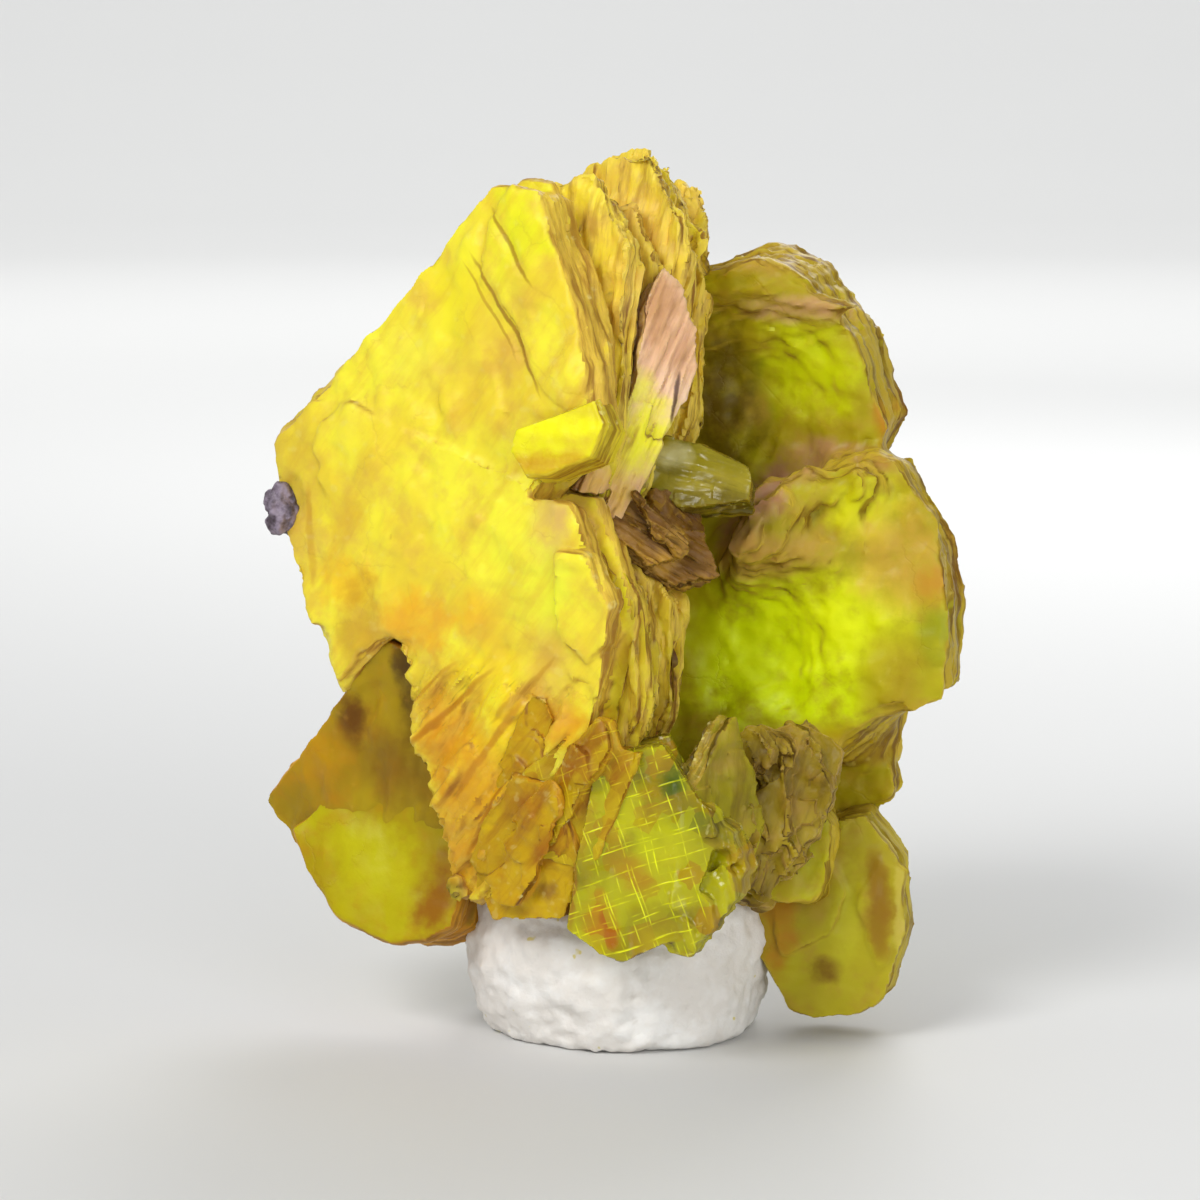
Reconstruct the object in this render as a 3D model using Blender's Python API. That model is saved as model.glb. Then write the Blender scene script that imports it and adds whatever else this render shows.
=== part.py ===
"""A cluster of yellow uranocircite tablets, grown together and standing on a lump of white putty.

The frame is +Z up, with its origin at the middle of the putty's flat foot. The cluster's best side
faces -Y. Every crystal is a tablet: a slab that is trimmed by the straight edges of its outline and
split into leaves.
"""

import math
import random
from typing import NamedTuple

import bmesh
import bpy
from mathutils import Matrix, Vector

MM = 0.001

# Driving dimensions, in millimetres.
PUTTY_RADIUS = 2.68
PUTTY_HEIGHT = 3.1
SEAT_GAP = 0.06
GRAIN_CENTRE = (-5.65, 0.3, 8.75)
GRAIN_RADIUS = 0.42
BLANK_REACH = 30.0
CHIP_SPACING = 1.05

# The putty's outline: height in millimetres, and share of the radius.
PUTTY_PROFILE = (
    (0.0, 0.85), (0.12, 0.89), (0.4, 0.94), (0.9, 0.98), (1.6, 1.0), (2.3, 0.97), (2.8, 0.88),
    (PUTTY_HEIGHT, 0.68),
)
PUTTY_DEPTH_RATIO = 0.94
PUTTY_SIDES = 30

# Waves round the putty: how many, their share of the radius, and how far they turn per millimetre of height.
PUTTY_LUMPS = ((3, 0.018, 0.0), (5, 0.011, 2.0))

# Shares of the distance from the tablet's centre.
CHIP_DEEPEST = 0.07
LEDGE_DEEPEST = 0.13
LEDGE_SHALLOWEST = 0.06
LEAF_UNEVENNESS = 0.02

# Share of a leaf's thickness by which its back may be off.
LEAF_VARIATION = 0.25

GRAIN_STRETCH = (0.9, 1.0, 1.15, 1.0)

CRYSTAL_COLOUR = (0.80, 0.74, 0.03, 1.0)
PUTTY_COLOUR = (0.84, 0.82, 0.79, 1.0)


class Tablet(NamedTuple):
    """One book of leaves. The middle of its front face is at the centre and looks along turn and lean.

    Turn 0 looks along -Y and 90 along -X, and lean tips the face upwards, all in degrees. Each edge of the
    outline is the direction in which it faces, in degrees from the tablet's own right, and its distance
    from the centre.
    """

    name: str
    centre: tuple
    turn: float
    lean: float
    thick: float
    leaves: int
    edges: tuple
    roll: float = 0.0


COVER_BOOK = (
    Tablet(
        "cover_high", (-2.9, -1.55, 10.45), 38, 6, 0.9, 3,
        ((84, 4.0), (132, 2.25), (167, 3.4), (207, 4.0), (311, 2.1), (12, 3.15), (26, 3.25)),
    ),
    Tablet(
        "cover_low", (-2.25, -2.27, 6.4), 37, 0, 1.1, 3,
        ((88, 3.0), (193, 1.55), (206, 2.05), (277, 3.9), (303, 3.5), (343, 2.35), (350, 2.45), (21, 2.85)),
    ),
    Tablet(
        "cover_leaf", (-1.73, -2.33, 12.45), 38, 6, 0.3, 1,
        ((83, 1.75), (140, 1.25), (171, 0.75), (218, 0.35), (240, 0.8), (341, 1.8), (15, 1.2), (27, 1.1)),
    ),
    Tablet(
        "cover_scale", (-0.64, -3.65, 7.5), 36, -2, 0.4, 1,
        ((86, 0.95), (173, 0.55), (192, 0.45), (236, 0.55), (305, 0.6), (350, 0.5), (29, 0.55)),
    ),
    Tablet(
        "spine_low", (-1.7, -1.85, 6.4), 36, -2, 1.6, 6,
        ((80, 2.6), (159, 1.45), (238, 2.65), (290, 3.25), (338, 2.4), (1, 2.4), (39, 2.65)),
    ),
    Tablet(
        "fan_front", (-2.3, -0.85, 10.4), 38, 8, 1.3, 5,
        ((102, 3.6), (130, 2.4), (180, 2.1), (241, 3.35), (289, 3.05), (343, 2.9), (2, 2.85), (38, 3.95)),
    ),
    Tablet(
        "fan_middle", (-1.6, -0.1, 10.5), 40, 12, 0.9, 5,
        ((97, 4.05), (127, 2.9), (180, 2.3), (237, 3.1), (280, 2.75), (324, 2.9), (0, 2.8), (37, 4.15)),
    ),
    Tablet(
        "fan_back", (-1.1, 0.5, 10.7), 42, 15, 1.1, 6,
        (
            (87, 4.0), (127, 2.8), (180, 2.2), (241, 2.9), (275, 2.3), (315, 2.4), (340, 2.55), (9, 2.6),
            (31, 3.35),
        ),
    ),
)

RIGHT_BOOK = (
    Tablet(
        "hood", (2.84, 0.05, 11.1), 22, -8, 1.5, 5,
        ((107, 2.05), (69, 1.65), (39, 1.3), (20, 1.3), (330, 1.95), (290, 2.2), (230, 2.3), (182, 2.6)),
    ),
    Tablet(
        "bowl", (2.34, -0.35, 6.4), 20, 10, 1.7, 5,
        ((118, 2.6), (176, 2.5), (237, 2.6), (272, 2.3), (308, 2.25), (355, 2.3), (44, 2.6), (84, 2.5)),
    ),
    Tablet(
        "right_rim", (4.3, -1.2, 7.6), 14, 3, 2.2, 6,
        ((99, 2.2), (152, 1.5), (185, 1.3), (252, 2.1), (293, 2.1), (357, 1.2), (12, 1.1), (30, 1.3)),
    ),
    Tablet(
        "under_shelf", (3.6, -0.15, 4.9), 12, -16, 1.6, 4,
        ((95, 1.6), (150, 1.6), (200, 1.6), (265, 1.4), (310, 1.5), (0, 1.05), (40, 1.5)),
    ),
    Tablet(
        "mound", (2.9, -0.9, 8.75), 18, 20, 1.3, 3,
        ((95, 0.85), (150, 1.0), (205, 1.0), (260, 0.75), (315, 0.9), (0, 1.1), (50, 1.0)),
    ),
)

HOLLOW_CRYSTALS = (
    Tablet(
        "cross_flake", (-1.05, -3.6, 10.25), 28, 14, 0.9, 2,
        ((112, 0.45), (171, 0.75), (220, 0.7), (273, 0.48), (294, 0.4), (340, 0.65), (30, 0.9)),
    ),
    Tablet(
        "green_prism", (1.3, -1.85, 9.65), 8, 22, 1.2, 2,
        ((75, 0.45), (126, 0.85), (177, 0.95), (236, 0.65), (259, 0.48), (309, 0.9), (351, 0.9), (38, 0.7)),
    ),
    Tablet(
        "side_flake", (0.75, -2.05, 11.4), -20, 4, 0.8, 1,
        ((78, 1.35), (168, 0.45), (229, 1.7), (330, 0.45), (9, 0.45)),
    ),
    Tablet(
        "inner_flake", (0.6, -2.55, 8.6), -30, 20, 0.9, 2,
        ((70, 0.7), (140, 0.9), (210, 0.8), (270, 0.8), (330, 0.7), (20, 0.6)), -35,
    ),
)

LOWER_CRYSTALS = (
    Tablet(
        "window", (0.5, -3.7, 3.85), 5, 2, 1.2, 4,
        ((88, 1.55), (160, 0.95), (176, 1.3), (240, 1.95), (290, 1.65), (348, 1.6), (13, 1.3), (34, 1.2)),
    ),
    Tablet(
        "step_high", (-0.75, -3.4, 4.5), 24, 4, 1.4, 3,
        ((86, 0.95), (132, 0.9), (197, 0.8), (256, 1.05), (300, 1.0), (338, 0.75)),
    ),
    Tablet(
        "step_low", (-1.45, -3, 3.6), 38, -6, 1.3, 3,
        ((83, 1.2), (141, 1.0), (172, 1.15), (216, 1.5), (279, 1.15), (339, 0.95), (16, 0.95)),
    ),
    Tablet(
        "spear", (1.75, -3.15, 4.2), -38, 6, 0.7, 2,
        ((80, 1.6), (140, 0.85), (190, 0.6), (235, 0.95), (282, 1.45), (330, 0.85), (15, 0.7)),
    ),
    Tablet(
        "tuft_high", (2.5, -2.15, 4.2), 8, 18, 1.1, 3,
        ((90, 0.95), (145, 0.85), (200, 0.8), (255, 0.8), (300, 0.85), (345, 0.9), (35, 0.95)),
    ),
    Tablet(
        "tuft_low", (2.35, -1.8, 3.35), -24, 12, 1.5, 2,
        ((85, 0.9), (140, 0.8), (195, 0.8), (250, 0.85), (305, 0.8), (350, 0.9), (35, 0.95)),
    ),
    Tablet(
        "left_wing", (-4.3, -0.35, 4.2), 30, -6, 1.2, 4,
        (
            (61, 2.55), (122, 1.8), (139, 1.25), (210, 2.1), (227, 1.95), (262, 1.5), (290, 1.6), (353, 2.2),
            (26, 2.35),
        ),
    ),
    Tablet(
        "left_lobe", (-3.95, -0.75, 3.0), 28, 16, 1.4, 3,
        (
            (59, 1.4), (100, 1.25), (133, 1.55), (210, 1.5), (227, 1.3), (252, 1.25), (277, 1.4),
            (302, 1.6), (349, 1.6), (20, 1.4),
        ),
    ),
    Tablet(
        "right_foot", (3.5, -1.25, 2.05), 12, 5, 1.4, 4,
        (
            (104, 1.6), (141, 1.4), (174, 1.3), (212, 1.35), (245, 1.65), (280, 1.65), (311, 1.55),
            (343, 1.25), (7, 1.25), (38, 1.55),
        ),
    ),
)

MIDDLE_CRYSTALS = (
    Tablet(
        "middle_low", (0.9, 0.35, 5.6), 20, 6, 1.9, 1,
        ((90, 2.6), (140, 2.8), (190, 3.0), (240, 3.2), (270, 3.1), (305, 3.2), (350, 2.6), (40, 2.8)),
    ),
    Tablet(
        "middle_foot", (0.9, -1.65, 3.6), 8, 8, 3.7, 1,
        ((90, 0.95), (140, 1.9), (190, 3.0), (240, 2.1), (270, 1.1), (305, 2.2), (350, 2.6), (40, 2.2)),
    ),
    Tablet(
        "middle_high", (0.7, 0.35, 8.9), 26, 4, 2.4, 1,
        ((90, 2.6), (140, 2.6), (190, 2.8), (240, 2.5), (300, 2.6), (350, 2.7), (40, 2.6)),
    ),
)

BACK_BOOKS = (
    Tablet(
        "back_high", (0.4, 2.5, 9.3), 196, 7, 1.5, 6,
        ((86, 3.3), (122, 2.9), (168, 2.7), (214, 2.7), (262, 3.1), (318, 2.9), (10, 2.9), (48, 2.9)),
    ),
    Tablet(
        "back_low", (-1.9, 1.75, 5.4), 146, -6, 1.5, 5,
        ((88, 2.6), (135, 2.5), (178, 2.3), (228, 2.4), (276, 2.5), (322, 2.3), (8, 2.4), (50, 2.6)),
    ),
    Tablet(
        "back_right", (3.0, 1.85, 6.1), 212, -2, 1.6, 5,
        ((80, 2.7), (125, 2.4), (172, 2.1), (220, 2.3), (268, 2.4), (315, 2.2), (0, 2.0), (42, 2.4)),
    ),
    Tablet(
        "back_foot", (0.7, 1.75, 3.6), 176, -14, 1.3, 3,
        ((84, 1.7), (135, 1.6), (190, 1.5), (240, 1.4), (286, 1.35), (335, 1.5), (30, 1.7)),
    ),
)

TABLETS = COVER_BOOK + RIGHT_BOOK + HOLLOW_CRYSTALS + LOWER_CRYSTALS + MIDDLE_CRYSTALS + BACK_BOOKS


def clear_scene():
    for old in list(bpy.data.objects):
        bpy.data.objects.remove(old)


def finish(name, colour, roughness):
    material = bpy.data.materials.new(name)
    material.use_nodes = True
    shader = material.node_tree.nodes["Principled BSDF"]
    shader.inputs["Base Color"].default_value = colour
    shader.inputs["Roughness"].default_value = roughness
    shader.inputs["Metallic"].default_value = 0.0
    return material


def facing(tablet):
    """Turns the tablet's own right, up and out axes into the frame, and moves its centre there."""
    turned = Matrix.Rotation(math.radians(-tablet.turn), 4, "Z")
    leaned = Matrix.Rotation(math.radians(90 - tablet.lean), 4, "X")
    rolled = Matrix.Rotation(math.radians(tablet.roll), 4, "Z")
    return Matrix.Translation(Vector(tablet.centre)) @ turned @ leaned @ rolled


def trimmed(outline, direction, distance):
    """The outline, cut off by one straight edge."""
    kept = []
    for here, there in zip(outline, outline[1:] + outline[:1]):
        inside = distance - here.dot(direction)
        beyond = distance - there.dot(direction)
        if inside >= 0:
            kept.append(here)
        if (inside >= 0) != (beyond >= 0):
            kept.append(here.lerp(there, inside / (inside - beyond)))
    return kept


def corners(tablet, grow=0.0):
    """The outline's corners, counter-clockwise as seen from the front."""
    outline = [Vector(corner) * BLANK_REACH for corner in ((-1, -1), (1, -1), (1, 1), (-1, 1))]
    for degrees, distance in tablet.edges:
        angle = math.radians(degrees)
        outline = trimmed(outline, Vector((math.cos(angle), math.sin(angle))), distance + grow)
    return outline


def chipped(outline, chance):
    """The outline with points along its longer sides, each knocked in a little."""
    points = []
    for here, there in zip(outline, outline[1:] + outline[:1]):
        parts = max(1, round((there - here).length / CHIP_SPACING))
        for part in range(parts):
            knock = chance.uniform(0, CHIP_DEEPEST) if part else 0.0
            points.append(here.lerp(there, part / parts) * (1 - knock))
    return points


def leaf_steps(tablet, chance):
    """The depth and size of each leaf's two faces. Every second leaf is set back, which makes the ledges."""
    steps = []
    pitch = tablet.thick / tablet.leaves
    front = 0.0
    for leaf in range(tablet.leaves):
        last = leaf == tablet.leaves - 1
        back = tablet.thick if last else pitch * (leaf + 1 + chance.uniform(-LEAF_VARIATION, LEAF_VARIATION))
        least, most = (LEDGE_SHALLOWEST, LEDGE_DEEPEST) if leaf % 2 else (0, LEAF_UNEVENNESS)
        ledge = chance.uniform(least, most)
        steps += [(front, 1 - ledge), (back, 1 - ledge)]
        front = back
    return steps


def stack(tablet, outline, steps):
    """One closed mesh: a loop of vertices at each step, joined to the next, with a cap at each end."""
    place = facing(tablet)
    shape = bmesh.new()
    loops = []
    for depth, size in steps:
        loops.append([shape.verts.new(place @ Vector((p.x * size, p.y * size, -depth))) for p in outline])
    shape.faces.new(loops[0])
    shape.faces.new(loops[-1][::-1])
    for front, back in zip(loops, loops[1:]):
        for k, point in enumerate(front):
            after = (k + 1) % len(front)
            shape.faces.new((front[after], point, back[k], back[after]))
    bmesh.ops.triangulate(shape, faces=shape.faces)
    mesh = bpy.data.meshes.new(tablet.name)
    shape.to_mesh(mesh)
    shape.free()
    return mesh


def book(tablet):
    chance = random.Random(tablet.name)
    outline = chipped(corners(tablet), chance)
    return stack(tablet, outline, leaf_steps(tablet, chance))


def press(tablet):
    """What the tablet pushes out of the putty: its whole blank, and a thin gap all round."""
    return stack(tablet, corners(tablet, SEAT_GAP), ((-SEAT_GAP, 1.0), (tablet.thick + SEAT_GAP, 1.0)))


def grain():
    """The small rounded grain of another mineral on the cover book's left edge."""
    shape = bmesh.new()
    place = Matrix.Translation(Vector(GRAIN_CENTRE)) @ Matrix.Diagonal(GRAIN_STRETCH)
    bmesh.ops.create_icosphere(shape, subdivisions=2, radius=GRAIN_RADIUS, matrix=place)
    mesh = bpy.data.meshes.new("grain")
    shape.to_mesh(mesh)
    shape.free()
    return mesh


def fill_pockets(mesh):
    """Takes out the small hollows that neighbouring crystals close off between them."""
    shape = bmesh.new()
    shape.from_mesh(mesh)
    waiting = set(shape.faces)
    while waiting:
        skin = [waiting.pop()]
        for face in skin:
            around = {other for edge in face.edges for other in edge.link_faces} & waiting
            waiting -= around
            skin.extend(around)
        volume = sum(face.calc_center_median().dot(face.normal) * face.calc_area() for face in skin)
        if volume < 0:
            points = {point for face in skin for point in face.verts}
            bmesh.ops.delete(shape, geom=list(points), context="VERTS")
    shape.to_mesh(mesh)
    shape.free()


def combined(name, mesh, others, operation):
    """One object, in metres: the mesh with the others joined to it or cut from it."""
    thing = bpy.data.objects.new(name, mesh)
    bpy.context.scene.collection.objects.link(thing)
    group = bpy.data.collections.new(name + "_others")
    bpy.context.scene.collection.children.link(group)
    for other in others:
        group.objects.link(bpy.data.objects.new(other.name, other))
    boolean = thing.modifiers.new("grown_together", "BOOLEAN")
    boolean.operation = operation
    boolean.solver = "EXACT"
    boolean.operand_type = "COLLECTION"
    boolean.collection = group
    graph = bpy.context.evaluated_depsgraph_get()
    result = bpy.data.meshes.new_from_object(thing.evaluated_get(graph))
    thing.modifiers.clear()
    for other in list(group.objects):
        bpy.data.objects.remove(other)
    bpy.data.collections.remove(group)
    fill_pockets(result)
    result.transform(Matrix.Scale(MM, 4))
    result.materials.clear()
    thing.data = result
    return thing


def crystal_cluster():
    """All the crystals, grown together as one solid."""
    first, *rest = TABLETS
    others = [book(tablet) for tablet in rest] + [grain()]
    cluster = combined("crystal_cluster", book(first), others, "UNION")
    cluster.data.materials.append(finish("uranocircite", CRYSTAL_COLOUR, 0.45))


def putty_lump():
    """A squat lump, kneaded by hand, with a flat foot."""
    shape = bmesh.new()
    loops = []
    for height, share in PUTTY_PROFILE:
        loop = []
        for side in range(PUTTY_SIDES):
            angle = math.tau * side / PUTTY_SIDES
            lumps = sum(size * math.sin(waves * angle + turn * height) for waves, size, turn in PUTTY_LUMPS)
            radius = PUTTY_RADIUS * share * (1 + lumps)
            x = radius * math.cos(angle)
            y = radius * PUTTY_DEPTH_RATIO * math.sin(angle)
            loop.append(shape.verts.new((x, y, height)))
        loops.append(loop)
    shape.faces.new(loops[0][::-1])
    shape.faces.new(loops[-1])
    for low, high in zip(loops, loops[1:]):
        for k, point in enumerate(low):
            after = (k + 1) % PUTTY_SIDES
            shape.faces.new((point, low[after], high[after], high[k]))
    bmesh.ops.triangulate(shape, faces=shape.faces)
    mesh = bpy.data.meshes.new("putty_base")
    shape.to_mesh(mesh)
    shape.free()
    return mesh


def lowest(mesh):
    return min(point.co.z for point in mesh.vertices)


def putty_base():
    """The putty, with the seat that the lowest crystals have pressed into it."""
    presses = [press(tablet) for tablet in TABLETS if lowest(press(tablet)) < PUTTY_HEIGHT]
    putty = combined("putty_base", putty_lump(), presses, "DIFFERENCE")
    putty.data.materials.append(finish("putty", PUTTY_COLOUR, 0.7))


def build():
    clear_scene()
    crystal_cluster()
    putty_base()


build()
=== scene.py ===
"""The dressed cluster: crystals as books of leaves, their finishes, the putty, floor, lights and camera."""

import math
import random
from typing import NamedTuple

import bmesh
import bpy
from mathutils import Matrix, Vector


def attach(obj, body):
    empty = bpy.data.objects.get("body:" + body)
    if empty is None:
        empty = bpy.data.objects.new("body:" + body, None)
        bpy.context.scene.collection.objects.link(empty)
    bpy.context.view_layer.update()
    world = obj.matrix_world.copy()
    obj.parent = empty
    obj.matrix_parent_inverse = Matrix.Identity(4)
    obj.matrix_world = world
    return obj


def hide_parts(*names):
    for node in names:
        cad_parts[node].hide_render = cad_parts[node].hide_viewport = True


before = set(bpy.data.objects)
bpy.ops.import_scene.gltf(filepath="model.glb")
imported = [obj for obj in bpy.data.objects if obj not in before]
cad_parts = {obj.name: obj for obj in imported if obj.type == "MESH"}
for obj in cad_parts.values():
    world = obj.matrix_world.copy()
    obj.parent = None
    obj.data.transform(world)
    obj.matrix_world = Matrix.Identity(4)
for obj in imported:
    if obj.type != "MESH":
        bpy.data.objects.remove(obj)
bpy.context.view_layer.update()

MM = 0.001

# Each leaf is trimmed from a block with sides this long, in millimetres.
BLANK_SIDE = 24.0

# So many leaves at the front of a book may end short of the ones behind them.
RIM_LEAVES = 2

# How fine the meshes are, in millimetres.
COVER_MESH = 0.058
UPPER_FAN_MESH = 0.052
LOWER_FAN_MESH = 0.047
RIGHT_MESH = 0.068
PUTTY_MESH = 0.065

# Edges sharper than this, in degrees, stay sharp.
SHARP_EDGE = 38.0

# Loose bits with less volume than this, in cubic millimetres, are swept away.
CRUMB_VOLUME = 0.02

# The camera, in millimetres and degrees.
CAMERA_TARGET = Vector((-0.33, -0.65, 7.36))
CAMERA_ELEVATION = 8.0
CAMERA_DISTANCE = 60.0
CAMERA_LENS = 108.0

# The floor, in metres.
FLOOR_RADIUS = 0.3
FLOOR_CURVE = 0.25
FLOOR_DROP = 0.00002
FLOOR_STEPS = 12

# The putty, in millimetres. The profile gives heights and shares of the radius.
PUTTY_RADIUS = 2.62
PUTTY_DEPTH_RATIO = 0.94
PUTTY_FOOT_TRIM = 0.02
PUTTY_PROFILE = (
    (0.0, 0.82), (0.12, 0.89), (0.4, 0.94), (0.9, 0.98), (1.6, 1.0), (2.3, 0.97), (2.8, 0.9), (3.1, 0.68),
)

# The grey-mauve grain on the cover's left edge, in millimetres.
GRAIN_CENTRE = (-5.7, 0.5, 8.75)
GRAIN_RADIUS = 0.36


class Tablet(NamedTuple):
    """One book of leaves, in millimetres and degrees. Its front face looks along turn and lean."""

    name: str
    centre: tuple
    turn: float
    lean: float
    thick: float
    leaves: int
    edges: tuple
    roll: float = 0.0


BOOKS = (
    Tablet("cover_high", (-2.9, -1.55, 10.45), 38, 6, 0.9, 3, (
        (84, 4.0), (132, 2.25), (150, 3.15), (167, 3.65), (186, 3.85), (207, 4.1), (311, 2.1), (12, 3.15),
        (26, 3.25),
    )),
    Tablet("cover_low", (-2.25, -2.27, 6.4), 37, 0, 1.1, 3, (
        (88, 3.0), (193, 1.55), (206, 2.05), (277, 3.9), (303, 3.5), (343, 2.35), (350, 2.45), (21, 2.85),
    )),
    Tablet("cover_leaf", (-1.73, -2.33, 12.45), 38, 6, 0.3, 1, (
        (83, 1.75), (140, 1.25), (171, 0.75), (218, 0.35), (240, 0.8), (341, 1.8), (15, 1.2), (27, 1.1),
    )),
    Tablet("cover_scale", (-0.64, -3.65, 7.5), 36, -2, 0.4, 1, (
        (86, 0.95), (173, 0.55), (192, 0.45), (236, 0.55), (305, 0.6), (350, 0.5), (29, 0.55),
    )),
    Tablet("spine_low", (-1.7, -1.85, 6.4), 36, -2, 1.6, 6, (
        (80, 2.6), (159, 1.45), (238, 2.65), (290, 3.25), (338, 2.4), (1, 2.4), (39, 2.65),
    )),
    Tablet("fan_front", (-2.3, -0.85, 10.4), 38, 8, 1.3, 5, (
        (102, 3.6), (130, 2.4), (180, 2.1), (241, 3.35), (289, 3.05), (343, 2.9), (2, 2.85), (38, 3.95),
    )),
    Tablet("fan_middle", (-1.6, -0.1, 10.5), 40, 12, 0.9, 5, (
        (97, 4.05), (127, 2.9), (180, 2.3), (237, 3.1), (280, 2.75), (324, 2.9), (0, 2.8), (37, 4.15),
    )),
    Tablet("fan_back", (-1.1, 0.5, 10.7), 42, 15, 1.1, 6, (
        (87, 4.0), (127, 2.8), (180, 2.2), (241, 2.9), (275, 2.3), (315, 2.4), (340, 2.55), (9, 2.6),
        (31, 3.35),
    )),
    Tablet("hood", (2.84, 0.05, 11.1), 22, -8, 1.5, 5, (
        (107, 2.05), (69, 1.65), (39, 1.3), (20, 1.3), (330, 1.95), (290, 2.2), (230, 2.3), (182, 2.6),
    )),
    Tablet("bowl", (2.34, -0.35, 6.4), 20, 10, 1.7, 5, (
        (118, 2.6), (176, 2.5), (237, 2.6), (272, 2.3), (308, 2.25), (355, 2.3), (44, 2.6), (84, 2.5),
    )),
    Tablet("right_rim", (4.3, -1.2, 7.6), 14, 3, 2.2, 6, (
        (99, 2.2), (152, 1.5), (185, 1.3), (252, 2.1), (293, 2.1), (357, 1.2), (12, 1.1), (30, 1.3),
    )),
    Tablet("under_shelf", (3.6, -0.15, 4.9), 12, -16, 1.6, 4, (
        (95, 1.6), (150, 1.6), (200, 1.6), (265, 1.4), (310, 1.5), (0, 1.05), (40, 1.5),
    )),
    Tablet("mound", (2.9, -0.9, 8.75), 18, 20, 1.3, 3, (
        (95, 0.85), (150, 1.0), (205, 1.0), (260, 0.75), (315, 0.9), (0, 1.1), (50, 1.0),
    )),
    Tablet("cross_flake", (-1.05, -3.6, 10.25), 28, 14, 0.9, 2, (
        (112, 0.45), (171, 0.75), (220, 0.7), (273, 0.48), (294, 0.4), (340, 0.65), (30, 0.9),
    )),
    Tablet("green_prism", (1.3, -1.85, 9.65), 8, 22, 0.9, 2, (
        (80, 0.48), (63, 0.44), (24, 0.72), (353, 0.88), (278, 0.59), (237, 0.7), (175, 0.98), (145, 0.82),
    )),
    Tablet("window", (0.5, -3.7, 3.85), 5, 2, 1.2, 4, (
        (101, 1.55), (168, 1.15), (173, 1.19), (234, 1.95), (254, 1.97), (294, 1.56), (339, 0.97),
        (346, 0.96), (34, 1.04),
    )),
    Tablet("step_high", (-0.75, -3.4, 4.5), 24, 4, 1.4, 3, (
        (86, 0.95), (132, 0.9), (197, 0.8), (256, 1.05), (300, 1.0), (338, 0.75),
    )),
    Tablet("step_low", (-1.45, -3, 3.6), 38, -6, 1.3, 3, (
        (83, 1.2), (141, 1.0), (172, 1.15), (216, 1.5), (279, 1.15), (339, 0.95), (16, 0.95),
    )),
    Tablet("spear", (1.75, -3.15, 4.2), -38, 6, 0.7, 2, (
        (80, 1.6), (140, 0.85), (190, 0.6), (235, 0.95), (282, 1.45), (330, 0.85), (15, 0.7),
    )),
    Tablet("tuft_high", (2.5, -2.15, 4.2), 8, 18, 1.1, 3, (
        (90, 0.95), (145, 0.85), (200, 0.8), (255, 0.8), (300, 0.85), (345, 0.9), (35, 0.95),
    )),
    Tablet("tuft_low", (2.35, -1.8, 3.35), -24, 12, 1.5, 2, (
        (85, 0.9), (140, 0.8), (195, 0.8), (250, 0.85), (305, 0.8), (350, 0.9), (35, 0.95),
    )),
    Tablet("left_wing", (-4.3, -0.35, 4.2), 30, -6, 1.2, 4, (
        (61, 2.55), (122, 1.8), (139, 1.25), (210, 2.1), (227, 1.95), (262, 1.5), (290, 1.6), (353, 2.2),
        (26, 2.35),
    )),
    Tablet("left_lobe", (-3.95, -0.75, 3.0), 28, 16, 1.4, 3, (
        (59, 1.4), (100, 1.25), (133, 1.55), (210, 1.5), (227, 1.3), (252, 1.25), (277, 1.4), (302, 1.6),
        (349, 1.6), (20, 1.4),
    )),
    Tablet("right_foot", (3.5, -1.25, 2.05), 12, 5, 1.4, 4, (
        (104, 1.6), (141, 1.4), (174, 1.3), (212, 1.35), (245, 1.65), (280, 1.65), (311, 1.55),
        (343, 1.25), (7, 1.25), (38, 1.55),
    )),
    Tablet("middle_low", (0.9, 0.65, 5.6), 20, 6, 1.6, 1, (
        (90, 2.6), (140, 2.8), (190, 3.0), (240, 3.2), (270, 3.1), (305, 3.2), (350, 2.6), (40, 2.8),
    )),
    Tablet("middle_foot", (0.9, -1.65, 3.6), 8, 8, 3.7, 1, (
        (90, 0.95), (140, 1.9), (190, 3.0), (240, 2.1), (270, 1.1), (305, 2.2), (350, 2.6), (40, 2.2),
    )),
    Tablet("middle_high", (0.7, 0.95, 8.9), 12, 4, 2.0, 1, (
        (90, 2.6), (140, 2.6), (190, 2.8), (240, 2.5), (300, 2.6), (350, 2.7), (40, 2.6),
    )),
    Tablet("back_high", (0.4, 2.5, 9.3), 196, 7, 0.8, 4, (
        (86, 3.3), (122, 2.9), (168, 2.7), (214, 2.7), (262, 3.1), (318, 2.9), (10, 2.9), (48, 2.9),
    )),
    Tablet("back_low", (-1.9, 1.75, 5.4), 146, -6, 1.5, 5, (
        (88, 2.6), (135, 2.5), (178, 2.3), (228, 2.4), (276, 2.5), (322, 2.3), (8, 2.4), (50, 2.6),
    )),
    Tablet("back_right", (3.0, 1.85, 6.1), 212, -2, 1.6, 5, (
        (80, 2.7), (125, 2.4), (172, 2.1), (220, 2.3), (268, 2.4), (315, 2.2), (0, 2.0), (42, 2.4),
    )),
    Tablet("back_foot", (0.7, 1.75, 3.6), 176, -14, 1.3, 3, (
        (84, 1.7), (135, 1.6), (190, 1.5), (240, 1.4), (286, 1.35), (335, 1.5), (30, 1.7),
    )),
)
TABLETS = {tablet.name: tablet for tablet in BOOKS}


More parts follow.
